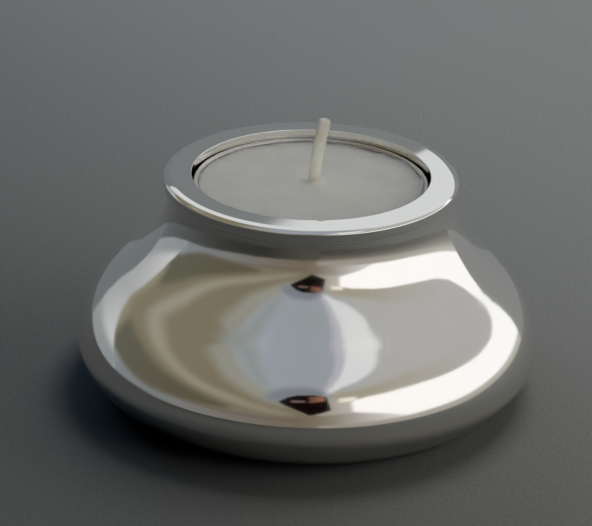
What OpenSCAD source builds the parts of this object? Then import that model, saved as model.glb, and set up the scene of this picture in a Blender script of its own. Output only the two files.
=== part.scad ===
// Tealight holder: a squat spun silver bowl with a drawn-in neck, a flat round-edged rim,
// a drawn socket hanging from the rim, a weighted and felted base, and a standard tealight.
// Units are millimetres. +Z is up, X = Y = 0 is the axis, Z = 0 is the table under the felt.

/* [Bowl outline] */
// Widest diameter of the bowl
body_d = 78.4; // [77.4:0.1:82]
// Radius of the roll between the underside and the side
low_r = 7.9; // [6:0.1:9]
// Angle above level that the side faces where the low roll ends
low_tilt = 14.5; // [10:0.5:20]
// Radius of the bulging upper side
belly_r = 18.5; // [15:0.1:19.5]
// Steepest angle above level that the shoulder faces
shoulder_tilt = 54; // [48:0.5:55]
// Radius of the hollow sweep just above the shoulder
sweep_r = 21.2; // [18:0.1:22]
// Angle above level at which the sweep tightens towards the neck
sweep_tilt = 33.5; // [28:0.5:36]
// Radius of the hollow sweep that ends in the upright neck
neck_sweep_r = 16.3; // [14:0.1:17]
// Thickness of the silver sheet
sheet = 0.9; // [0.6:0.1:1.2]

/* [Rim] */
// Thickness of the rim, which is also the diameter of its rounded edge
rim_t = 2.4; // [2:0.1:3]
// How far the rim stands out past the neck
rim_overhang = 0.75; // [0.4:0.05:1.5]
// Depth of the spigot that centres the rim in the neck
spigot_h = 1.8; // [1:0.1:3]

/* [Socket] */
// Inside diameter of the rim and the socket
bore_d = 40; // [39.6:0.1:40.6]
// Depth of the socket below the top of the rim
socket_depth = 17.4; // [16.8:0.1:19]

/* [Base] */
// How far the felt stands below the silver
felt_proud = 0.5; // [0.2:0.1:1]
// Thickness of the felt
felt_t = 1.1; // [0.8:0.1:2]
// Radius of the opening in the underside of the bowl
opening_r = 29.6; // [28:0.1:30]
// Radius of the steel weight
weight_r = 26; // [15:0.5:27]
// Thickness of the steel weight
weight_t = 6; // [3:0.5:9]

/* [Tealight] */
// Height of the aluminium cup
cup_h = 16; // [14:0.1:16.5]
// Outside diameter of the cup's rolled lip
cup_lip_d = 39.4; // [38.4:0.1:39.6]
// Thickness of the aluminium
foil = 0.3; // [0.2:0.05:0.4]
// Depth of the wax surface below the lip
wax_drop = 0.7; // [0.3:0.1:3]
// Diameter of the waxed wick
wick_d = 2.1; // [1.6:0.1:2.4]
// Height of the wick's tip above the rim
wick_rise = 9.1; // [6:0.1:12]

/* [Hidden] */
$fn = 96;

silver = [0.86, 0.85, 0.82];
arc_step = 5;              // degrees between outline points on a round stretch
touch = 0.05;              // gap of a soldered or glued seam
rest_gap = 0.1;            // gap under the tealight, which lifts out
plate_t = 0.9;
plate_lip_t = 0.8;
chamfer = 0.6;

// Bowl outline: four arcs, each tangent to the next. A tilt is the angle above level that the
// surface faces; a minus radius is a hollow arc.
foot_r = body_d / 2 - low_r;
low_c = [foot_r, felt_proud + low_r];
belly_c = low_c + (low_r - belly_r) * facing(low_tilt);
sweep_c = belly_c + (belly_r + sweep_r) * facing(shoulder_tilt);
neck_c = sweep_c + (neck_sweep_r - sweep_r) * facing(sweep_tilt);
OUTLINE = [[low_c, low_r, -90, low_tilt],
           [belly_c, belly_r, low_tilt, shoulder_tilt],
           [sweep_c, -sweep_r, shoulder_tilt, sweep_tilt],
           [neck_c, -neck_sweep_r, sweep_tilt, 0]];
neck_r = neck_c[0] - neck_sweep_r;
neck_z = neck_c[1];
rim_z = neck_z + rim_t;

// Rim and socket
bore_r = bore_d / 2;
rim_edge_r = rim_t / 2;
rim_flat_r = neck_r + rim_overhang - rim_edge_r;
spigot_out_r = neck_r - sheet - touch;
spigot_in_r = spigot_out_r - 0.8;
socket_floor_z = rim_z - socket_depth;
socket_flange_r = spigot_in_r - touch;

// Base
plate_z = felt_t + touch;
plate_lip_r = opening_r - plate_lip_t;
pad_r = plate_lip_r - 0.2;

// Tealight
cup_z = socket_floor_z + rest_gap;
lip_r = 0.4;
cup_top_r = cup_lip_d / 2 - 2 * lip_r + foil;
cup_foot_r = cup_top_r - 0.4;
cup_corner = 0.8;
wax_z = cup_z + cup_h - wax_drop;
wick_at = [0.6, 1.4];
wick_bend_at = [1.0, 1.4];
wick_bend_h = 5;           // height of the bend above the wax
wick_tip_at = [2.1, 1.4];
slice_h = 0.2;
sustainer_r = 7.5;
sustainer_t = 0.3;
crimp_r = wick_d / 2 + 0.5;
crimp_h = 5;
sustainer_z = cup_z + foil;

function facing(tilt) = [cos(tilt), sin(tilt)];
function arc_points(c, r, from, to, inset) =
    let (steps = ceil(abs(to - from) / arc_step))
    [for (i = [0:steps]) c + (r - inset) * facing(from + (to - from) * i / steps)];
function outline(inset) = [for (arc = OUTLINE) each arc_points(arc[0], arc[1], arc[2], arc[3], inset)];
function reversed(points) = [for (i = [len(points) - 1:-1:0]) points[i]];

module body_shell() {
    color(silver) rotate_extrude()
        polygon(concat([[opening_r, felt_proud]], outline(0),
                       reversed(outline(sheet)), [[opening_r, felt_proud + sheet]]));
}

module rim_ring() {
    color(silver) rotate_extrude() {
        translate([bore_r, neck_z]) square([rim_flat_r - bore_r, rim_t]);
        translate([rim_flat_r, neck_z + rim_edge_r]) circle(rim_edge_r);
        translate([spigot_in_r, neck_z - spigot_h])
            square([spigot_out_r - spigot_in_r, spigot_h + rim_edge_r]);
    }
}

module socket_cup() {
    color(silver) rotate_extrude() {
        translate([bore_r, socket_floor_z - sheet]) square([sheet, socket_depth - rim_t + sheet]);
        translate([0, socket_floor_z - sheet]) square([bore_r + sheet / 2, sheet]);
        translate([bore_r, neck_z - sheet]) square([socket_flange_r - bore_r, sheet]);
    }
}

module weight_disc() {
    z = plate_z + plate_t;
    color("dimgray") {
        translate([0, 0, z]) cylinder(r = weight_r, h = weight_t - chamfer);
        translate([0, 0, z + weight_t - chamfer])
            cylinder(r1 = weight_r, r2 = weight_r - chamfer, h = chamfer);
    }
}

module base_plate() {
    color(silver) rotate_extrude() {
        translate([0, plate_z]) square([opening_r - touch, plate_t]);
        translate([plate_lip_r, felt_proud + touch])
            square([plate_lip_t - touch, plate_z + plate_t - felt_proud - touch]);
    }
}

module base_pad() {
    color("darkslategray") cylinder(r = pad_r, h = felt_t);
}

module tealight_cup() {
    color("silver") translate([0, 0, cup_z]) rotate_extrude() {
        polygon([[0, 0], [cup_foot_r - cup_corner, 0], [cup_foot_r, cup_corner],
                 [cup_top_r, cup_h - lip_r], [cup_top_r - foil, cup_h - lip_r],
                 [cup_foot_r - foil, cup_corner], [cup_foot_r - cup_corner, foil], [0, foil]]);
        translate([cup_top_r - foil + lip_r, cup_h - lip_r]) circle(lip_r);
    }
}

module wax() {
    body_r = cup_top_r - foil - touch;
    foot = cup_foot_r - foil - touch;
    z = sustainer_z + touch;
    color("ivory") difference() {
        rotate_extrude()
            polygon([[0, z], [foot - cup_corner, z], [foot, z + cup_corner], [body_r, wax_z], [0, wax_z]]);
        translate([wick_at[0], wick_at[1], 0]) {
            translate([0, 0, sustainer_z]) cylinder(r = wick_d / 2, h = cup_h);
            translate([0, 0, sustainer_z]) cylinder(r = crimp_r, h = crimp_h);
            translate([0, 0, sustainer_z]) cylinder(r = sustainer_r, h = sustainer_t);
        }
    }
}

module wick_sustainer() {
    color("gray") translate([wick_at[0], wick_at[1], sustainer_z]) difference() {
        union() {
            cylinder(r = sustainer_r, h = sustainer_t);
            cylinder(r = crimp_r, h = crimp_h);
        }
        translate([0, 0, -1]) cylinder(r = wick_d / 2, h = crimp_h + 2);
    }
}

module cord_slice(at) {
    translate(at) cylinder(r = wick_d / 2, h = slice_h, $fn = 16);
}

module cord_run(from, to) {
    hull() {
        cord_slice(from);
        cord_slice(to);
    }
}

// Stands upright in the wax, then leans a little, and more above the bend.
module wick() {
    root = [wick_at[0], wick_at[1], sustainer_z];
    surface = [wick_at[0], wick_at[1], wax_z];
    bend = [wick_bend_at[0], wick_bend_at[1], wax_z + wick_bend_h];
    tip = [wick_tip_at[0], wick_tip_at[1], rim_z + wick_rise - slice_h];
    color("antiquewhite") {
        cord_run(root, surface);
        cord_run(surface, bend);
        cord_run(bend, tip);
    }
}

body_shell();
rim_ring();
socket_cup();
weight_disc();
base_plate();
base_pad();
tealight_cup();
wax();
wick_sustainer();
wick();
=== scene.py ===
"""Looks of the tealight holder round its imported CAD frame: turned silver, felt, aluminium, wax and wick,
in a light tent on plain paper. Outlines are in millimetres as (radius, height) pairs."""

import math
from collections import namedtuple

import bmesh
import bpy
from mathutils import Matrix, Vector, noise


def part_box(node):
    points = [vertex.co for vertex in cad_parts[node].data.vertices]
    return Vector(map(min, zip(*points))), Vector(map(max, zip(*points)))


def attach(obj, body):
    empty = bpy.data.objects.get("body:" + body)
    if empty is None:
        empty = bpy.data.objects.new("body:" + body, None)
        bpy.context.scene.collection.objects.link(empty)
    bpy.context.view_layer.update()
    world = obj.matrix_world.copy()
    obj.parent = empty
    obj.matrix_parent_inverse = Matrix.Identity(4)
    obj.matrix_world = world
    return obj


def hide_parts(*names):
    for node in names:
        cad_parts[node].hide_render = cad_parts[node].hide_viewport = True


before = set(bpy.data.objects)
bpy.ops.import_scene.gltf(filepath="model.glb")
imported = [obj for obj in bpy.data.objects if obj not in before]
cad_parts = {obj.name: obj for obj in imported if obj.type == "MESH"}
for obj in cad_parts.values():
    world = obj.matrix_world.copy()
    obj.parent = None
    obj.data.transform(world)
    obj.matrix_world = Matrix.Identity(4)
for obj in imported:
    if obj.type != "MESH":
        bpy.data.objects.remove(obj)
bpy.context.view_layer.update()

MM = 0.001
SILVER_TINT = (0.95, 0.94, 0.88)  # share of red, green and blue light that the silver returns
SEGMENTS = 256
ARC_STEP = 1.5  # degrees of turn between outline points on a silver arc
FILLET_STEP = 15  # degrees of turn between outline points on a small rounded corner
EDGE_STEP = 3  # the same on the rim's crowned edge
UNDER_STEP = 5  # the same under the rim's edge
ON_AXIS = 1e-6  # a point this close to the axis is on it


def extent(node):
    """Outer radius, lowest and highest point of a CAD node, in millimetres."""
    low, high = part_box(node)
    return high.x / MM, low.z / MM, high.z / MM


BOWL_R, SILVER_FOOT_Z, NECK_Z = extent("body_shell")
RIM_R, SPIGOT_Z, RIM_Z = extent("rim_ring")
FLANGE_R, SOCKET_UNDER_Z, _ = extent("socket_cup")
PLATE_R, PLATE_LIP_Z, PLATE_TOP_Z = extent("base_plate")
PAD_R, _, PAD_TOP_Z = extent("base_pad")
CUP_LIP_R, CUP_Z, CUP_TOP_Z = extent("tealight_cup")
WAX_R, WAX_FOOT_Z, WAX_Z = extent("wax")
_, WICK_FOOT_Z, WICK_TIP_Z = extent("wick")

# Bowl outline, as in the CAD: four arcs, each tangent to the next
LOW_R, LOW_TILT = 7.9, 14.5
BELLY_R, SHOULDER_TILT = 18.5, 54
SWEEP_R, SWEEP_TILT = 21.2, 33.5
NECK_SWEEP_R = 16.3
SHEET = 0.9

# Rim: from the flat top a soft crown, a tighter shoulder and a corner, then the rounded underside
BORE_R = 20.0
RIM_CROWN_R, RIM_CROWN_TILT = 2.2, 57
RIM_SHOULDER_R, RIM_SHOULDER_TILT = 0.8, 42
RIM_CORNER_R = 0.4
RIM_UNDER_R = 0.8
RIM_BEVEL = 0.1
SPIGOT_OUT_R, SPIGOT_IN_R = 23.04, 22.24

# Socket and base
SOCKET_FLOOR_Z = SOCKET_UNDER_Z + SHEET
OPENING_R = PLATE_R + 0.05
PLATE_LIP_R = 28.8
PLATE_Z = PLATE_TOP_Z - SHEET

# Tealight
LIP_R = 0.4
FOIL = 0.3
CUP_TOP_R = CUP_LIP_R - 2 * LIP_R + FOIL
CUP_FOOT_R = CUP_TOP_R - 0.4
CUP_CORNER = 0.8
WICK_R = 1.05
WICK_FOOT = (0.6, 1.4)
WICK_BEND = (1.0, 1.4, WAX_Z + 5)
WICK_TIP = (2.1, 1.4, WICK_TIP_Z)

# In metres: the paper that the silver shows, and the paper and backdrop round it that only the camera sees
FLOOR_R = 0.14
STAGE_R = 4.0
BACKDROP_TOP = 1.5  # the backdrop grows lighter up to this height
GLOW_START, GLOW_FULL = 0.4, 1.2  # the paper's grey glow grows from one radius to the other
FAR_GREY = (88, 92, 95)
HIGH_GREY = (116, 120, 124)


# ---------------------------------------------------------------- outlines and meshes


def facing(tilt):
    """Unit step in an outline towards a tilt in degrees above level."""
    return Vector((math.cos(math.radians(tilt)), math.sin(math.radians(tilt))))


def arc(centre, radius, start, end, step=ARC_STEP):
    """Outline points round an arc; a minus radius is a hollow arc."""
    steps = max(2, math.ceil(abs(end - start) / step))
    return [centre + radius * facing(start + (end - start) * i / steps) for i in range(steps + 1)]


def bowl_arcs(inset):
    """Outline of the bowl from its underside up to the neck, moved inwards by inset."""
    low = Vector((BOWL_R - LOW_R, SILVER_FOOT_Z + LOW_R))
    belly = low + (LOW_R - BELLY_R) * facing(LOW_TILT)
    sweep = belly + (BELLY_R + SWEEP_R) * facing(SHOULDER_TILT)
    neck = sweep + (NECK_SWEEP_R - SWEEP_R) * facing(SWEEP_TILT)
    points = arc(low, LOW_R - inset, -90, LOW_TILT)
    points += arc(belly, BELLY_R - inset, LOW_TILT, SHOULDER_TILT)[1:]
    points += arc(sweep, -SWEEP_R - inset, SHOULDER_TILT, SWEEP_TILT)[1:]
    points += arc(neck, -NECK_SWEEP_R - inset, SWEEP_TILT, 0)[1:]
    return points


def rounded(corners):
    """Closed outline through (radius, height, fillet) corners, with an arc at each filleted one."""
    outline = []
    count = len(corners)
    for i, (r, z, fillet) in enumerate(corners):
        point = Vector((r, z))
        if fillet == 0:
            outline.append(point)
            continue
        back = (Vector(corners[i - 1][:2]) - point).normalized()
        ahead = (Vector(corners[(i + 1) % count][:2]) - point).normalized()
        half = back.angle(ahead) / 2
        centre = point + (back + ahead).normalized() * (fillet / math.sin(half))
        start = point + back * (fillet / math.tan(half)) - centre
        turn = math.pi - 2 * half
        if back.x * ahead.y - back.y * ahead.x > 0:
            turn = -turn
        steps = max(2, math.ceil(abs(math.degrees(turn)) / FILLET_STEP))
        for k in range(steps + 1):
            a = turn * k / steps
            x = start.x * math.cos(a) - start.y * math.sin(a)
            y = start.x * math.sin(a) + start.y * math.cos(a)
            outline.append(centre + Vector((x, y)))
    return outline


def plain(points):
    """Outline points as corners without a fillet."""
    return [(p.x, p.y, 0) for p in points]


def held(outline, longest=0.7, margin=0.02):
    """The outline with a point close to both ends of each long straight run, so that flats shade flat."""
    result = []
    for i, point in enumerate(outline):
        after = outline[(i + 1) % len(outline)]
        result.append(point)
        run = after - point
        on_axis = max(point.x, after.x) < ON_AXIS
        if run.length > longest and not on_axis:
            step = run.normalized() * margin
            result += [point + step, after - step]
    return result


def filled(outline, spacing):
    """The outline with no straight run longer than spacing, away from the axis."""
    result = []
    for i, point in enumerate(outline):
        after = outline[(i + 1) % len(outline)]
        on_axis = max(point.x, after.x) < ON_AXIS
        steps = 1 if on_axis else max(1, math.ceil((after - point).length / spacing))
        result += [point.lerp(after, k / steps) for k in range(steps)]
    return result


def build(name, vertices, faces):
    """Smooth mesh object from millimetre vertices, with its faces turned outwards."""
    mesh = bpy.data.meshes.new(name)
    mesh.from_pydata([[c * MM for c in v] for v in vertices], [], faces)
    work = bmesh.new()
    work.from_mesh(mesh)
    bmesh.ops.recalc_face_normals(work, faces=work.faces)
    work.to_mesh(mesh)
    work.free()
    mesh.shade_smooth()
    obj = bpy.data.objects.new(name, mesh)
    bpy.context.scene.collection.objects.link(obj)
    return obj


def lathe(name, outline, shape=None, segments=SEGMENTS):
    """Turns a closed outline about Z. shape(radius, angle, height) may return another (radius, height)."""
    vertices, rings, faces = [], [], []
    for r, z in outline:
        first = len(vertices)
        if r < ON_AXIS:
            height = shape(0, 0, z)[1] if shape else z
            vertices.append((0, 0, height))
            rings.append([first] * segments)
            continue
        for k in range(segments):
            angle = 2 * math.pi * k / segments
            radius, height = shape(r, angle, z) if shape else (r, z)
            vertices.append((radius * math.cos(angle), radius * math.sin(angle), height))
        rings.append(list(range(first, first + segments)))
    for i, ring in enumerate(rings):
        above = rings[(i + 1) % len(rings)]
        for k in range(segments):
            n = (k + 1) % segments
            corners = list(dict.fromkeys([ring[k], ring[n], above[n], above[k]]))
            if len(corners) > 2:
                faces.append(corners)
    return build(name, vertices, faces)


def tube(name, centres, section, segments):
    """Closed tube along a list of points; section(i, angle) gives the radius there."""
    vertices, faces = [], []
    for i, centre in enumerate(centres):
        along = (centres[min(i + 1, len(centres) - 1)] - centres[max(i - 1, 0)]).normalized()
        side = along.cross(Vector((0, 1, 0))).normalized()
        other = along.cross(side)
        for k in range(segments):
            angle = 2 * math.pi * k / segments
            radius = section(i, angle)
            vertices.append(centre + side * (radius * math.cos(angle)) + other * (radius * math.sin(angle)))
    for i in range(len(centres) - 1):
        for k in range(segments):
            n = (k + 1) % segments
            a, b = i * segments, (i + 1) * segments
            faces.append([a + k, a + n, b + n, b + k])
    last = (len(centres) - 1) * segments
    faces.append(list(range(segments)))
    faces.append(list(range(last, last + segments)))
    return build(name, vertices, faces)


def finish_piece(obj, material, body, slot, *nodes):
    """Gives a piece its material and its place in the frame."""
    obj.data.materials.append(material)
    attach(obj, body)
    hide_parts(*nodes)


# ---------------------------------------------------------------- shader helpers


def add_node(tree, kind, inputs=None, **settings):
    """New shader node; an input may be a value or another node's output."""
    node = tree.nodes.new("ShaderNode" + kind)
    for name, value in settings.items():
        setattr(node, name, value)
    for name, value in (inputs or {}).items():
        if isinstance(value, bpy.types.NodeSocket):
            tree.links.new(value, node.inputs[name])
        else:
            node.inputs[name].default_value = value
    return node


def calculate(tree, operation, a, b=0.0):
    """Output of one math node."""
    return add_node(tree, "Math", {0: a, 1: b}, operation=operation).outputs[0]


def ramp(tree, value, low, high, start=0.0, end=1.0):
    """value from low to high becomes start to end, eased, and held outside."""
    inputs = {"Value": value, "From Min": low, "From Max": high, "To Min": start, "To Max": end}
    return add_node(tree, "MapRange", inputs, interpolation_type="SMOOTHSTEP").outputs["Result"]


def blend_colours(tree, factor, a, b):
    """Colour a turning into colour b as factor goes from 0 to 1."""
    node = add_node(tree, "Mix", data_type="RGBA")
    for socket, value in ((node.inputs[0], factor), (node.inputs[6], a), (node.inputs[7], b)):
        if isinstance(value, bpy.types.NodeSocket):
            tree.links.new(value, socket)
        else:
            socket.default_value = value
    return node.outputs[2]


def colour(red, green, blue):
    """Linear colour with alpha from 0-255 display values."""

    def linear(v):
        v /= 255
        return v / 12.92 if v <= 0.04045 else ((v + 0.055) / 1.055) ** 2.4

    return (linear(red), linear(green), linear(blue), 1.0)


def start_material(name, **sockets):
    """New material: (material, tree, its Principled node, object coordinates)."""
    material = bpy.data.materials.new(name)
    material.use_nodes = True
    tree = material.node_tree
    shader = tree.nodes["Principled BSDF"]
    for socket, value in sockets.items():
        shader.inputs[socket.replace("_", " ")].default_value = value
    place = add_node(tree, "TexCoord").outputs["Object"]
    return material, tree, shader, place


def stretched(tree, place, scale, turn=(0, 0, 0)):
    """Coordinates scaled and turned before a texture."""
    turned = [math.radians(t) for t in turn]
    mapping = add_node(tree, "Mapping", {"Vector": place, "Rotation": turned, "Scale": scale})
    return mapping.outputs["Vector"]


def noise_at(tree, place, size, detail=2.0, roughness=0.5):
    """Noise whose blotches are about size metres across."""
    inputs = {"Vector": place, "Scale": 1 / size, "Detail": detail, "Roughness": roughness}
    return add_node(tree, "TexNoise", inputs).outputs["Fac"]


def bumped(tree, shader, height, depth, under=None):
    """Bump of the given depth in metres on the shader, over another bump if one is given."""
    inputs = {"Height": height, "Distance": depth, "Strength": 1.0}
    if under is not None:
        inputs["Normal"] = under
    normal = add_node(tree, "Bump", inputs).outputs["Normal"]
    tree.links.new(normal, shader.inputs["Normal"])
    return normal


# ---------------------------------------------------------------- materials


def hairlines(tree, place, turn, length=0.02, width=0.00004):
    """Sparse fine scratches that run one way: 1 on a scratch and 0 elsewhere."""
    along = stretched(tree, place, (1 / width, 1 / length, 1 / length), turn)
    lines = noise_at(tree, along, 1.0, detail=1.0)
    patches = noise_at(tree, place, 0.012, detail=1.0)
    line = ramp(tree, lines, 0.70, 0.74)
    return calculate(tree, "MULTIPLY", line, ramp(tree, patches, 0.5, 0.62))


def silver_material(name, polish=0.012, haze=0.03, tarnish=0.25, waviness=0.000004):
    """Mirror silver: faint polishing haze, a few hairlines and a trace of warm tarnish."""
    material, tree, shader, place = start_material(name, Metallic=1.0)
    cloudy = noise_at(tree, place, 0.018, detail=4.0, roughness=0.6)
    rough = ramp(tree, cloudy, 0.35, 0.75, polish, polish + haze)
    scratches = calculate(
        tree,
        "MAXIMUM",
        hairlines(tree, place, (0, 20, 35)),
        hairlines(tree, place, (50, -15, -60)),
    )
    rough = calculate(tree, "ADD", rough, calculate(tree, "MULTIPLY", scratches, 0.05))
    tree.links.new(rough, shader.inputs["Roughness"])
    warm = ramp(tree, noise_at(tree, place, 0.03, 3.0), 0.45, 0.8, 0.0, tarnish)
    tint = blend_colours(tree, warm, (*SILVER_TINT, 1), (0.90, 0.87, 0.78, 1))
    tree.links.new(tint, shader.inputs["Base Color"])
    planish = noise_at(tree, place, 0.007, detail=1.0)
    first = bumped(tree, shader, planish, waviness)
    bumped(tree, shader, scratches, -0.0000006, first)
    return material


def steel_material(name, tone, ring_size):
    """Turned steel: fine rings round the axis, with blotches of oil."""
    material, tree, shader, place = start_material(name, Metallic=1.0)
    axis = add_node(tree, "SeparateXYZ", {"Vector": place})
    x2 = calculate(tree, "POWER", axis.outputs["X"], 2.0)
    y2 = calculate(tree, "POWER", axis.outputs["Y"], 2.0)
    radius = calculate(tree, "SQRT", calculate(tree, "ADD", x2, y2))
    rings = add_node(tree, "TexNoise", {"W": radius, "Scale": 1 / ring_size}, noise_dimensions="1D")
    blotch = noise_at(tree, place, 0.006, detail=3.0)
    shade = blend_colours(tree, blotch, (tone * 0.7, tone * 0.7, tone * 0.72, 1), (tone, tone, tone, 1))
    tree.links.new(shade, shader.inputs["Base Color"])
    rough = ramp(tree, rings.outputs["Fac"], 0.3, 0.7, 0.28, 0.5)
    tree.links.new(rough, shader.inputs["Roughness"])
    bumped(tree, shader, rings.outputs["Fac"], 0.00002)
    return material


def felt_material():
    """Dark wool felt: heathered colour, matted fibres and a soft sheen."""
    material, tree, shader, place = start_material("wool_felt", Roughness=0.95, Sheen_Weight=0.4)
    shader.inputs["Sheen Roughness"].default_value = 0.5
    one_way = stretched(tree, place, (1, 3, 1), (0, 0, 25))
    other_way = stretched(tree, place, (3, 1, 1), (0, 0, -15))
    fibres = noise_at(tree, one_way, 0.0006, detail=6.0, roughness=0.7)
    crossed = noise_at(tree, other_way, 0.0005, detail=6.0, roughness=0.7)
    matted = calculate(tree, "MAXIMUM", fibres, crossed)
    worn = noise_at(tree, place, 0.012, detail=3.0)
    shade = blend_colours(tree, ramp(tree, matted, 0.4, 0.75), colour(38, 42, 48), colour(86, 90, 98))
    shade = blend_colours(tree, ramp(tree, worn, 0.5, 0.8, 0.0, 0.35), shade, colour(104, 103, 100))
    tree.links.new(shade, shader.inputs["Base Color"])
    bumped(tree, shader, matted, 0.0003)
    return material


def aluminium_material():
    """Thin pressed aluminium: drawn lines down the wall and a dull, slightly marked surface."""
    material, tree, shader, place = start_material("pressed_aluminium", Metallic=1.0)
    drawn = noise_at(tree, stretched(tree, place, (1, 1, 0.03)), 0.0005, detail=3.0, roughness=0.6)
    marks = noise_at(tree, place, 0.003, detail=4.0, roughness=0.6)
    rough = ramp(tree, marks, 0.3, 0.7, 0.24, 0.34)
    tree.links.new(rough, shader.inputs["Roughness"])
    tint = blend_colours(tree, drawn, (0.60, 0.58, 0.545, 1), (0.68, 0.66, 0.62, 1))
    tree.links.new(tint, shader.inputs["Base Color"])
    bumped(tree, shader, drawn, 0.00002)
    return material


def wax_material():
    """Paraffin wax: cloudy and translucent, with a frosted skin."""
    material, tree, shader, place = start_material(
        "paraffin_wax",
        Subsurface_Weight=1.0,
        Subsurface_Scale=0.002,
        IOR=1.43,
        Specular_IOR_Level=0.35,
    )
    shader.inputs["Subsurface Radius"].default_value = (1.0, 0.95, 0.85)
    clouds = noise_at(tree, place, 0.006, detail=4.0, roughness=0.6)
    crystals = add_node(tree, "TexVoronoi", {"Vector": place, "Scale": 900.0}).outputs["Distance"]
    cloudy = ramp(tree, clouds, 0.35, 0.65)
    shade = blend_colours(tree, cloudy, colour(228, 228, 225), colour(235, 234, 231))
    tree.links.new(shade, shader.inputs["Base Color"])
    rough = ramp(tree, clouds, 0.3, 0.7, 0.42, 0.6)
    tree.links.new(rough, shader.inputs["Roughness"])
    skin = noise_at(tree, place, 0.0012, detail=3.0)
    first = bumped(tree, shader, crystals, 0.000012)
    bumped(tree, shader, skin, 0.00003, first)
    return material


def wick_material():
    """Braided cotton soaked in wax: cream strands under a glossy skin."""
    material, tree, shader, place = start_material(
        "waxed_cotton",
        Roughness=0.5,
        Subsurface_Weight=1.0,
        Subsurface_Scale=0.003,
        Coat_Weight=0.2,
        Coat_Roughness=0.35,
    )
    shader.inputs["Subsurface Radius"].default_value = (1.0, 0.9, 0.75)
    lengthways = stretched(tree, place, (1, 1, 0.12), (0, 6, 0))
    twisted = stretched(tree, place, (1, 1, 0.15), (0, 12, 0))
    flutes = noise_at(tree, lengthways, 0.0009, detail=1.0)
    fibres = noise_at(tree, twisted, 0.00025, detail=4.0)
    soaked = noise_at(tree, place, 0.002, detail=2.0)
    strands = ramp(tree, flutes, 0.38, 0.62)
    shade = blend_colours(tree, strands, colour(238, 224, 206), colour(238, 239, 224))
    shade = blend_colours(tree, ramp(tree, soaked, 0.4, 0.7, 0.0, 0.5), shade, colour(244, 243, 236))
    tree.links.new(shade, shader.inputs["Base Color"])
    first = bumped(tree, shader, flutes, 0.00005)
    bumped(tree, shader, fibres, 0.00001, first)
    return material


def paper_material():
    """Matt grey paper with a fine grain, and painted shade and light: darker at the front left, lighter at
    the back right.

    Far out, beyond the lights' reach, a faint glow keeps it grey.
    """
    material, tree, shader, place = start_material("backdrop_paper", Roughness=1.0, Specular_IOR_Level=0.0)
    grain = noise_at(tree, place, 0.0006, detail=4.0, roughness=0.8)
    tone = ramp(tree, grain, 0.3, 0.7)
    axis = add_node(tree, "SeparateXYZ", {"Vector": place}).outputs
    # Painted shade and painted light: the paper's colour is blended from a darker grey at the front left to
    # a lighter grey at the back right, in place of the light falling off across the floor.
    across = calculate(tree, "ADD", axis["X"], calculate(tree, "MULTIPLY", axis["Y"], 0.7))
    painted_light_falloff = ramp(tree, across, -0.16, 0.16)
    painted_shade_grey = blend_colours(tree, tone, colour(122, 122, 123), colour(137, 137, 138))
    light = blend_colours(tree, tone, colour(171, 172, 174), colour(190, 191, 193))
    tree.links.new(blend_colours(tree, painted_light_falloff, painted_shade_grey, light), shader.inputs["Base Color"])
    bumped(tree, shader, grain, 0.00006)
    from_middle = add_node(tree, "VectorMath", {0: place}, operation="LENGTH").outputs["Value"]
    shader.inputs["Emission Color"].default_value = colour(*FAR_GREY)
    tree.links.new(ramp(tree, from_middle, GLOW_START, GLOW_FULL), shader.inputs["Emission Strength"])
    return material


# ---------------------------------------------------------------- pieces of the holder


def make_bowl(silver):
    outside = plain(bowl_arcs(0))
    inside = plain(reversed(bowl_arcs(SHEET)))
    opening_edge, neck_edge = 0.3, 0.08
    outline = rounded(
        [(OPENING_R, SILVER_FOOT_Z, opening_edge)]
        + outside[:-1]
        + [(outside[-1][0], NECK_Z, neck_edge), (inside[0][0], NECK_Z, neck_edge)]
        + inside[1:]
        + [(OPENING_R, SILVER_FOOT_Z + SHEET, opening_edge)]
    )
    finish_piece(lathe("bowl", held(outline)), silver, "holder", "silver", "body_shell")


def crowned_edge():
    """Rim outline from the flat top over a soft crown and a tighter corner to the rounded underside."""
    crown_out, shoulder_out = facing(RIM_CROWN_TILT).x, facing(RIM_SHOULDER_TILT).x
    reach = RIM_CROWN_R * crown_out
    reach += RIM_SHOULDER_R * (shoulder_out - crown_out)
    reach += RIM_CORNER_R * (1 - shoulder_out)
    crown = Vector((RIM_R - reach, RIM_Z - RIM_CROWN_R))
    shoulder = crown + (RIM_CROWN_R - RIM_SHOULDER_R) * facing(RIM_CROWN_TILT)
    corner = shoulder + (RIM_SHOULDER_R - RIM_CORNER_R) * facing(RIM_SHOULDER_TILT)
    under = Vector((RIM_R - RIM_UNDER_R, NECK_Z + RIM_UNDER_R))
    return (
        arc(crown, RIM_CROWN_R, 90, RIM_CROWN_TILT, EDGE_STEP)
        + arc(shoulder, RIM_SHOULDER_R, RIM_CROWN_TILT, RIM_SHOULDER_TILT, EDGE_STEP)[1:]
        + arc(corner, RIM_CORNER_R, RIM_SHOULDER_TILT, 0, EDGE_STEP)[1:]
        + arc(under, RIM_UNDER_R, 0, -90, UNDER_STEP)
    )


def make_rim(silver):
    outline = rounded(
        [(BORE_R, RIM_Z, RIM_BEVEL)]
        + plain(crowned_edge())
        + [
            (SPIGOT_OUT_R, NECK_Z, 0.1),
            (SPIGOT_OUT_R, SPIGOT_Z, 0.15),
            (SPIGOT_IN_R, SPIGOT_Z, 0.15),
            (SPIGOT_IN_R, NECK_Z, 0.1),
            (BORE_R, NECK_Z, 0.1),
        ]
    )
    finish_piece(lathe("rim", held(outline)), silver, "holder", "silver", "rim_ring")


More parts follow.
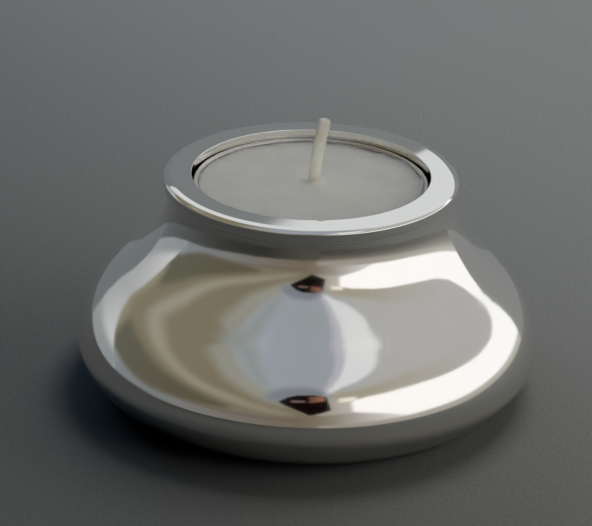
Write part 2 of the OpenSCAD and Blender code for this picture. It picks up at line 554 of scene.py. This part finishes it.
def make_socket(silver):
    wall_r = BORE_R + SHEET
    outline = rounded(
        [
            (0, SOCKET_FLOOR_Z, 0),
            (BORE_R, SOCKET_FLOOR_Z, 1.2),
            (BORE_R, NECK_Z, 0.25),
            (FLANGE_R, NECK_Z, 0.1),
            (FLANGE_R, NECK_Z - SHEET, 0.1),
            (wall_r, NECK_Z - SHEET, 0.4),
            (wall_r, SOCKET_UNDER_Z, 2.1),
            (0, SOCKET_UNDER_Z, 0),
        ]
    )
    finish_piece(lathe("socket", held(outline)), silver, "holder", "silver", "socket_cup")


def make_base_plate(silver):
    outline = rounded(
        [
            (0, PLATE_Z, 0),
            (PLATE_LIP_R, PLATE_Z, 0.2),
            (PLATE_LIP_R, PLATE_LIP_Z, 0.25),
            (PLATE_R, PLATE_LIP_Z, 0.25),
            (PLATE_R, PLATE_TOP_Z, 0.1),
            (0, PLATE_TOP_Z, 0),
        ]
    )
    finish_piece(lathe("underside_plate", held(outline)), silver, "holder", "silver", "base_plate")


def make_pad(felt):
    tuft_depth, tufts_per_mm = 0.07, 1.6
    edge, spacing = 0.25, 0.5

    def matted(r, angle, z):
        """Pushes the surface inwards in small tufts."""
        at = Vector((r * math.cos(angle), r * math.sin(angle), z)) * tufts_per_mm
        push = tuft_depth * (0.5 + 0.5 * noise.noise(at))
        on_side = r > PAD_R - 0.3
        on_top = z > PAD_TOP_Z / 2
        return r - push * on_side, z - push if on_top else z + push

    corners = [(0, 0, 0), (PAD_R, 0, edge), (PAD_R, PAD_TOP_Z, edge), (0, PAD_TOP_Z, 0)]
    outline = filled(rounded(corners), spacing)
    finish_piece(lathe("felt_pad", outline, matted), felt, "holder", "felt", "base_pad")


def dress_hidden_nodes():
    """The weight and the wick's foot keep their CAD meshes."""
    weight = steel_material("turned_steel", 0.35, 0.0004)
    tinned = steel_material("tinned_steel", 0.6, 0.0002)
    for node, material, slot in (
        ("weight_disc", weight, "weight_steel"),
        ("wick_sustainer", tinned, "sustainer_steel"),
    ):
        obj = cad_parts[node]
        obj.data.materials.clear()
        obj.data.materials.append(material)


# ---------------------------------------------------------------- the tealight


def make_cup(aluminium):
    lip_centre = Vector((CUP_TOP_R - FOIL + LIP_R, CUP_TOP_Z - LIP_R))
    ridge_r, ridge_w, ridge_h = 13.0, 1.0, 0.25
    ridge_foot, ridge_crest = 0.3, 0.5
    pleat_depth, lip_sway = 0.05, 0.06
    wall_top = CUP_TOP_Z - LIP_R
    underside = [
        (0, CUP_Z, 0),
        (ridge_r - ridge_w, CUP_Z, ridge_foot),
        (ridge_r, CUP_Z + ridge_h, ridge_crest),
        (ridge_r + ridge_w, CUP_Z, ridge_foot),
        (CUP_FOOT_R, CUP_Z, CUP_CORNER),
    ]
    inner_foot_r = CUP_FOOT_R - FOIL
    inside = [
        (inner_foot_r, CUP_Z + FOIL, CUP_CORNER - FOIL),
        (ridge_r + ridge_w, CUP_Z + FOIL, ridge_foot),
        (ridge_r, CUP_Z + FOIL + ridge_h, ridge_crest),
        (ridge_r - ridge_w, CUP_Z + FOIL, ridge_foot),
        (0, CUP_Z + FOIL, 0),
    ]
    roll = plain(arc(lip_centre, LIP_R, -100, 180, FILLET_STEP))
    outline = rounded(underside + [(CUP_TOP_R, wall_top - LIP_R, 0)] + roll + inside)

    def pressed(r, angle, z):
        """Faint upright pleats that deepen towards the lip, and a lip that isn't quite even."""
        if r < CUP_FOOT_R - 2 * FOIL:
            return r, z
        rise = (z - CUP_Z) / (CUP_TOP_Z - CUP_Z)
        pleat = noise.noise(Vector((math.cos(angle), math.sin(angle), 0.03 * rise)) * 22)
        sway = noise.noise(Vector((math.cos(angle), math.sin(angle), 3.0)) * 2.5)
        return r + pleat_depth * pleat * rise, z - lip_sway * (0.5 + 0.5 * sway) * rise**8

    cup = lathe("tealight_cup_pressed", filled(outline, 1.0), pressed, 384)
    finish_piece(cup, aluminium, "tealight", "cup_aluminium", "tealight_cup")


def make_wax(wax):
    foot_r = CUP_FOOT_R - FOIL - 0.05
    wall_climb, wall_reach = 0.38, 0.5
    wick_climb, wick_reach = 0.55, 0.45
    dip_depth, dip_reach = 0.12, 5
    ripple_depth, settled = 0.05, 0.1
    spacing = 0.2
    wick_at = Vector(WICK_FOOT)

    def surface(r, angle, z):
        """Set wax: it climbs the cup's wall unevenly, climbs the wick, and sinks a little between."""
        if z < WAX_Z - 0.01:
            return r, z
        flat = Vector((r * math.cos(angle), r * math.sin(angle)))
        round_edge = Vector((math.cos(angle), math.sin(angle), 0))
        uneven = 1 + 0.7 * noise.noise(round_edge * 5.5) + 0.3 * noise.noise(round_edge * 17)
        climb = wall_climb * uneven * math.exp(-(WAX_R - r) / (wall_reach * uneven + 0.1))
        from_wick = (flat - wick_at).length
        climb += wick_climb * math.exp(-max(0.0, from_wick - WICK_R) / wick_reach)
        dip = dip_depth * math.exp(-((from_wick / dip_reach) ** 2))
        ripple = ripple_depth * noise.noise(Vector((flat.x, flat.y, 0)) * 0.35)
        return r, z + climb - dip + ripple - settled

    corners = [(0, WAX_FOOT_Z, 0), (foot_r, WAX_FOOT_Z, CUP_CORNER), (WAX_R, WAX_Z, 0), (0, WAX_Z, 0)]
    outline = filled(rounded(corners), spacing)
    finish_piece(lathe("wax_fill", outline, surface), wax, "tealight", "wax", "wax")


def make_wick(cotton):
    root = Vector((*WICK_FOOT, WICK_FOOT_Z))
    surface = Vector((*WICK_FOOT, WAX_Z))
    bend, tip = Vector(WICK_BEND), Vector(WICK_TIP)
    root_rings, run_rings, cap_rings = 12, 40, 8
    round_off = 0.45
    # How the wick points at the wax, at the bend and at the tip
    upright, leaning, nodding = (Vector((lean, 0, 1.8)) for lean in (0, 0.25, 0.3))
    runs = [
        (surface, surface + upright, bend - leaning, bend),
        (bend, bend + leaning, tip - nodding, tip),
    ]
    centres = [root.lerp(surface, k / root_rings) for k in range(root_rings)]
    for a, b, c, d in runs:
        for k in range(run_rings):
            t = k / run_rings
            s = 1 - t
            centres.append(a * s**3 + b * (3 * s * s * t) + c * (3 * s * t * t) + d * t**3)
    tip_axis = (tip - centres[-1]).normalized()
    centres = [c for c in centres if (tip - c).length > round_off]
    last = len(centres)
    for k in range(cap_rings + 1):
        turn = math.pi / 2 * k / cap_rings
        centres.append(tip - tip_axis * (round_off * (1 - math.sin(turn))))

    def section(i, angle):
        """Round cord with the braid showing through the wax, and a cut, rounded end."""
        z = centres[i].z
        braid = math.sin(3 * angle + z * 2.2) * math.sin(3 * angle - z * 2.2)
        lumps = noise.noise(Vector((math.cos(angle), math.sin(angle), z * 0.7)))
        radius = WICK_R * (0.975 + 0.006 * braid + 0.022 * lumps)
        if i >= last:
            turn = math.pi / 2 * (i - last) / cap_rings
            radius -= round_off * (1 - math.cos(turn))
        return radius

    wick = tube("wick_cord", centres, section, 48)
    wick.visible_shadow = False
    finish_piece(wick, cotton, "tealight", "wick_cotton", "wick")


# ---------------------------------------------------------------- stage, light and camera

# One cloth or gap of the tent: its colours at its left and right ends as the silver shows them, its
# lower and upper edges as (azimuth, elevation) points in degrees, and how soft the edges are in degrees.
# Azimuth 0 is towards -Y and grows towards +X; a cloth behind counts its azimuth from +Y. Each cloth hangs
# in front of the ones before it.
Cloth = namedtuple("Cloth", "name left right lower upper blur behind", defaults=(False,))

CEILING = (146, 151, 155)
TO_GROUND = None
TENT = [
    Cloth("back_wall", (206, 208, 208), (209, 210, 208), TO_GROUND,
          [(-48, 62), (0, 68), (52, 62)], 6, True),
    Cloth("right_wall", (168, 166, 161), (172, 170, 168), TO_GROUND,
          [(14, 33), (40, 46), (60, 60), (80, 70), (100, 74), (134, 74)], 3),
    Cloth("right_warm", (154, 147, 128), (170, 167, 161), [(14, 22), (100, 22)],
          [(14, 33), (60, 39), (100, 32)], 4),
    Cloth("ceiling_fold", (154, 160, 168), (146, 152, 160),
          [(-78, 73), (-60, 72), (-45, 67), (-32, 60), (-24, 52)],
          [(-78, 76), (-60, 76), (-45, 73), (-32, 67), (-24, 60)], 3),
    Cloth("ceiling_green", (136, 141, 138), (138, 144, 143),
          [(-100, 62), (-80, 63), (-60, 62), (-45, 55), (-30, 42), (-20, 33)],
          [(-100, 71), (-80, 72), (-60, 69), (-45, 64), (-30, 52), (-20, 40)], 5),
    Cloth("lilac_fold", (172, 170, 177), (176, 174, 180), [(8, 32), (20, 43), (30, 54), (40, 64), (60, 74)],
          [(8, 35), (15, 47), (22, 60), (30, 70), (40, 77), (60, 83)], 3),
    Cloth("streak", (208, 209, 209), (218, 219, 215),
          [(9, 30), (20, 38), (30, 42), (40, 47), (50, 53), (60, 60), (70, 64), (100, 70)],
          [(9, 33), (15, 40), (20, 47), (25, 54), (30, 60), (40, 69), (60, 77), (80, 80), (100, 82)], 2.2),
    Cloth("left_wall", (122, 115, 96), (118, 110, 90), TO_GROUND,
          [(-150, 74), (-100, 65), (-80, 62), (-60, 56), (-45, 47), (-30, 35), (-20, 28), (-8, 23),
           (3, 14)], 5),
    Cloth("left_top_fold", (141, 140, 129), (144, 142, 131),
          [(-80, 55), (-60, 46), (-45, 36), (-30, 28), (-20, 23), (-8, 20)],
          [(-80, 64), (-60, 58), (-45, 50), (-30, 40), (-20, 32), (-8, 25)], 6),
    Cloth("left_mid_fold", (147, 144, 130), (143, 134, 114),
          [(-140, 42), (-120, 35), (-100, 31), (-80, 26), (-60, 21), (-40, 17), (-20, 13), (-6, 10)],
          [(-140, 48), (-120, 43), (-100, 40), (-80, 33), (-60, 27), (-40, 23), (-20, 17), (-6, 12)], 4),
    Cloth("left_shade", (92, 91, 77), (88, 82, 65), [(-118, 2), (-95, 2), (-80, -2), (-60, 3), (-36, 9)],
          [(-118, 25), (-100, 24), (-80, 20), (-60, 17), (-36, 12)], 4),
    Cloth("left_foot", (122, 128, 131), (112, 102, 88), TO_GROUND,
          [(-114, 5), (-100, 3), (-90, 1), (-80, 1), (-60, 4), (-40, 7), (-20, 9), (6, 11)], 2.5),
    Cloth("left_foot_line", (96, 92, 80), (112, 92, 80), [(-90, 3), (-60, 4), (-30, 5), (6, 5)],
          [(-90, 4), (-60, 6), (-30, 7), (6, 7)], 2),
    Cloth("left_rise", (140, 136, 118), (134, 129, 110), [(-140, 17), (-124, 17), (-116, 12)],
          [(-140, 29), (-124, 24), (-116, 17)], 4),
    Cloth("left_panel", (158, 160, 160), (197, 197, 195), TO_GROUND,
          [(-150, 31), (-140, 27.5), (-130, 22.5), (-120, 15), (-112, 7), (-108, 2), (-103, -8)], 2),
    Cloth("left_panel_foot", (146, 148, 147), (136, 141, 143), TO_GROUND,
          [(-150, 3), (-120, 4), (-104, 4)], 4),
    Cloth("right_panel", (252, 249, 244), (251, 249, 247), TO_GROUND,
          [(21, 22), (26, 25), (32, 26.5), (50, 27), (62, 26), (80, 22.5), (100, 18.5), (114, 17.5),
           (124, 20), (134, 25), (142, 28)], 0.9),
    Cloth("front_cloth", (116, 105, 88), (216, 213, 207), TO_GROUND,
          [(-1, 11), (8, 13), (18, 15), (26, 12.5), (38, 8), (50, 1), (58, -6)], 1.2),
    Cloth("ground_far", (150, 144, 132), (196, 193, 185), TO_GROUND,
          [(6, 1), (30, 2), (60, 1), (80, -0.5), (110, -1.5), (190, -2)], 1),
    Cloth("ground_middle", (92, 89, 79), (156, 154, 146), TO_GROUND, [(-6, -3), (30, -5), (190, -6)], 2.5),
    Cloth("ground_near", (66, 65, 57), (122, 121, 115), TO_GROUND, [(-6, -9), (190, -10)], 3),
    Cloth("ground_front", (46, 46, 42), (74, 72, 63), TO_GROUND, [(-42, -4), (-6, -4), (8, -5)], 1),
    Cloth("ground_left", (106, 110, 110), (46, 46, 42), TO_GROUND,
          [(-190, -5), (-150, -5), (-121, -6), (-109, -5.6), (-85, -3.8), (-50, -4.3), (-38, -4)], 0.8),
    Cloth("backdrop", (106, 111, 113), (132, 133, 130), TO_GROUND,
          [(-41, -20), (-40, 2), (-37, 10), (-33, 15), (-29, 24), (-15, 27), (-3.3, 24.5), (0, 22.85),
           (3.3, 21.2), (12, 18), (25, 19), (39, 22.5), (43, 20), (46, 11), (47, 0), (48, -20)],
          0.06, True),
    Cloth("gap_side", (152, 146, 136), (178, 172, 163), [(6, 11), (23, 13)], [(6, 26), (23, 27)], 1.5),
    Cloth("gap_corner", (226, 216, 200), (240, 230, 214), [(17, 23.5), (26, 24.5)],
          [(17, 28), (26, 28)], 1),
    Cloth("gap_shadow", (120, 125, 131), (118, 121, 127), [(-20, 24), (-14, 24), (12, 30)],
          [(-20, 32), (-12, 38), (0, 40), (12, 35)], 4),
    Cloth("lens_gap", (10, 4, 4), (14, 6, 4),
          [(-13, 23), (-9, 20), (-2, 15), (2, 11.5), (5, 12.5), (9, 14.5), (12.5, 16.5)],
          [(-13, 24.5), (-9, 29), (-4, 31.5), (4, 32), (11, 30), (11.5, 26), (12.5, 18)], 0.7),
    Cloth("hand", (104, 68, 54), (142, 98, 80), [(2, 24), (10, 26)], [(2, 30.5), (10, 30.5)], 1),
    Cloth("lens_ring", (112, 94, 86), (98, 82, 76), [(-7, 24), (0, 24.5)], [(-7, 26.2), (0, 26.6)], 0.7),
]


def above_edge(tree, azimuth, elevation, points, soft):
    """0 below an edge through (azimuth, elevation) points and 1 above it."""
    height = calculate(tree, "SUBTRACT", elevation, float(points[0][1]))
    for (start, low), (end, high) in zip(points, points[1:]):
        slope = (high - low) / (end - start)
        along = calculate(tree, "MINIMUM", calculate(tree, "MAXIMUM", azimuth, float(start)), float(end))
        along = calculate(tree, "SUBTRACT", along, float(start))
        climb = calculate(tree, "MULTIPLY", along, slope)
        height = calculate(tree, "SUBTRACT", height, climb)
    return ramp(tree, height, -soft, soft)


def cloth_mask(tree, cloth, azimuth, elevation):
    """1 on the cloth and 0 off it."""
    soft = float(cloth.blur)
    first, last = float(cloth.upper[0][0]), float(cloth.upper[-1][0])
    over_top = above_edge(tree, azimuth, elevation, cloth.upper, soft)
    masks = [calculate(tree, "SUBTRACT", 1.0, over_top)]
    masks.append(ramp(tree, azimuth, first - soft, first + soft))
    masks.append(ramp(tree, azimuth, last - soft, last + soft, 1.0, 0.0))
    if cloth.lower:
        masks.append(above_edge(tree, azimuth, elevation, cloth.lower, soft))
    product = masks[0]
    for mask in masks[1:]:
        product = calculate(tree, "MULTIPLY", product, mask)
    return product


def hung(shown):
    """Colour of a cloth that the silver shows as the given display colour."""
    return tuple(c / tint for c, tint in zip(colour(*shown), SILVER_TINT)) + (1.0,)


def light_tent():
    """World light: white and beige cloths hung round a gap for the lens."""
    world = bpy.data.worlds.new("light_tent")
    world.use_nodes = True
    bpy.context.scene.world = world
    world.cycles_visibility.camera = False
    world.cycles_visibility.diffuse = False
    world.cycles.sampling_method = "MANUAL"
    world.cycles.sample_map_resolution = 256  # enough for cloths this large
    tree = world.node_tree
    background = tree.nodes["Background"]
    direction = add_node(tree, "TexCoord").outputs["Generated"]
    parts = add_node(tree, "SeparateXYZ", {"Vector": direction})
    x, y, z = (parts.outputs[axis] for axis in "XYZ")
    degrees = math.degrees(1)
    from_front = calculate(tree, "ARCTAN2", x, calculate(tree, "MULTIPLY", y, -1.0))
    from_back = calculate(tree, "ARCTAN2", x, y)
    azimuths = [calculate(tree, "MULTIPLY", a, degrees) for a in (from_front, from_back)]
    elevation = calculate(tree, "MULTIPLY", calculate(tree, "ARCSINE", z), degrees)
    shown = hung(CEILING)
    for cloth in TENT:
        azimuth = azimuths[cloth.behind]
        first, last = cloth.upper[0][0], cloth.upper[-1][0]
        across = ramp(tree, azimuth, float(first), float(last))
        tone = blend_colours(tree, across, hung(cloth.left), hung(cloth.right))
        shown = blend_colours(tree, cloth_mask(tree, cloth, azimuth, elevation), shown, tone)
    tree.links.new(shown, background.inputs["Color"])


def camera_only(obj):
    """Shown to the camera, and neither seen in reflections nor lit from."""
    obj.visible_diffuse = False
    obj.visible_glossy = False
    obj.visible_transmission = False
    obj.visible_shadow = False


def disc(name, inner, outer, material):
    """Flat ring on the floor, in metres, or a whole disc where inner is 0."""
    segments = 128
    vertices, faces = [], []
    for radius in (inner, outer):
        for k in range(segments):
            angle = 2 * math.pi * k / segments
            vertices.append((radius * math.cos(angle) / MM, radius * math.sin(angle) / MM, 0))
    for k in range(segments):
        n = (k + 1) % segments
        faces.append([k, n, segments + n, segments + k])
    if inner == 0:
        vertices = [(0, 0, 0)] + vertices[segments:]
        faces = [[0, 1 + k, 1 + (k + 1) % segments] for k in range(segments)]
    obj = build(name, vertices, faces)
    obj.data.materials.append(material)
    return obj


def make_stage():
    """Paper floor, with its far part and the backdrop shown to the camera only."""
    paper = paper_material()
    disc("floor", 0, FLOOR_R, paper)
    camera_only(disc("floor_beyond", FLOOR_R, STAGE_R, paper))
    inside, outside = STAGE_R / MM, STAGE_R / MM + 10
    outline = arc(Vector((0, 0)), inside, 0, 90, 3.75)
    outline += [Vector((0, outside)), Vector((outside, 0))]
    dome = lathe("backdrop", outline, segments=64)
    material = bpy.data.materials.new("backdrop_grey")
    material.use_nodes = True
    tree = material.node_tree
    tree.nodes.clear()
    place = add_node(tree, "TexCoord").outputs["Object"]
    height = add_node(tree, "SeparateXYZ", {"Vector": place}).outputs["Z"]
    upwards = ramp(tree, height, 0.0, BACKDROP_TOP)
    shade = blend_colours(tree, upwards, colour(*FAR_GREY), colour(*HIGH_GREY))
    glow = add_node(tree, "Emission", {"Color": shade})
    out = add_node(tree, "OutputMaterial")
    tree.links.new(glow.outputs[0], out.inputs["Surface"])
    dome.data.materials.append(material)
    camera_only(dome)


def soft_light(name, place, size, watts, only=None):
    """Soft rectangular light, which the silver doesn't show, aimed at the middle of the floor.

    watts is its power in red, green and blue, and only names the pieces that it is limited to.
    """
    data = bpy.data.lights.new(name, "AREA")
    data.shape = "RECTANGLE"
    data.size, data.size_y = size
    data.energy = max(watts)
    data.color = [w / max(watts) for w in watts]
    light = bpy.data.objects.new(name, data)
    bpy.context.scene.collection.objects.link(light)
    light.location = place
    light.rotation_euler = Vector(place).to_track_quat("Z", "Y").to_euler()
    light.visible_camera = False
    light.visible_glossy = False
    if only:
        lit = bpy.data.collections.new(name + "_receivers")
        for piece in only:
            lit.objects.link(bpy.data.objects[piece])
        light.light_linking.receiver_collection = lit


def make_lights():
    soft_light("window", (0.60, 0.15, 0.25), (0.6, 0.4), (0.56, 0.55, 0.49))
    soft_light("spill", (0.55, -0.20, 0.25), (0.5, 0.4), (0.62, 0.61, 0.58))
    soft_light("lamp", (0.15, 0.30, 0.50), (0.3, 0.3), (0.88, 0.85, 0.77))
    soft_light("sky", (-0.25, 0.50, 0.30), (0.6, 0.4), (0.27, 0.42, 0.58))
    lit = ("wick_cord", "wax_fill")
    soft_light("front", (-0.10, -0.50, 0.15), (0.5, 0.3), (0.90, 0.88, 0.86), lit)


def make_camera():
    """Camera 430 mm from the holder's middle, looking down at it, with small turns off the middle."""
    distance = 0.43
    target = Vector((0, 0, 0.0205))
    lens, sensor = 153.84, 36.0
    down, turn, nod, lean = (math.radians(a) for a in (24.19, -0.29, 0.06, 1.50))
    ahead = Vector((0, math.cos(down), -math.sin(down)))
    right = Vector((1, 0, 0))
    up = right.cross(ahead)
    place = target - ahead * distance
    ahead = ahead * math.cos(nod) + up * math.sin(nod)
    up = right.cross(ahead)
    ahead = ahead * math.cos(turn) + right * math.sin(turn)
    right = ahead.cross(up)
    x_axis = right * math.cos(lean) + up * math.sin(lean)
    y_axis = up * math.cos(lean) - right * math.sin(lean)
    data = bpy.data.cameras.new("camera")
    data.lens, data.sensor_width = lens, sensor
    data.clip_start, data.clip_end = 0.01, 20
    camera = bpy.data.objects.new("camera", data)
    bpy.context.scene.collection.objects.link(camera)
    turned = Matrix((x_axis, y_axis, -ahead)).transposed().to_4x4()
    camera.matrix_world = Matrix.Translation(place) @ turned
    bpy.context.scene.camera = camera


def make_holder():
    silver = silver_material("polished_silver", polish=0.06, haze=0.05)
    rim_silver = silver_material("rim_silver", waviness=0.0)
    dull_silver = silver_material("socket_silver", polish=0.12, haze=0.14, tarnish=0.6)
    make_bowl(silver)
    make_rim(rim_silver)
    make_socket(dull_silver)
    make_base_plate(dull_silver)
    make_pad(felt_material())
    dress_hidden_nodes()


def make_tealight():
    make_cup(aluminium_material())
    make_wax(wax_material())
    make_wick(wick_material())


make_camera()
make_holder()
make_tealight()
light_tent()
make_lights()
make_stage()
bpy.context.scene.view_settings.view_transform = "Standard"
bpy.context.scene.cycles.caustics_reflective = False
